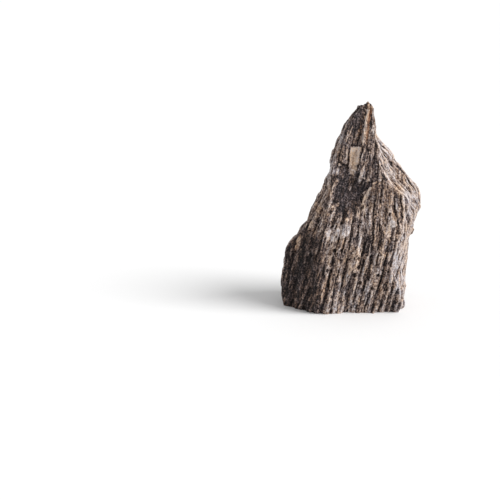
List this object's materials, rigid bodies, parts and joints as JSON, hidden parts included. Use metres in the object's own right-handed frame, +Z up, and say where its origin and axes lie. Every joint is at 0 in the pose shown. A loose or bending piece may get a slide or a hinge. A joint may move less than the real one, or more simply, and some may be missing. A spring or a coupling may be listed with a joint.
{
  "type": "aquascape rock",
  "caption": "Tall pointed block of fossil wood stone that stands on its flat foot as the main stone of an aquarium layout, with ribbed, splintered faces.",
  "frame": {"origin": "on the ground under the middle of the stone's box", "axes": "+Z up along the stone's height, -Y out of the broad front face, +X to the right as the front is seen"},
  "size_m": [0.1628, 0.1024, 0.2395],
  "materials": {
    "fossil_wood": "dry, rough and unpolished fossil wood: charcoal, brown, tan and cream fibres with rusty streaks"
  },
  "bodies": {
    "root": {"rock": "fossil_wood"}
  },
  "joints": []
}
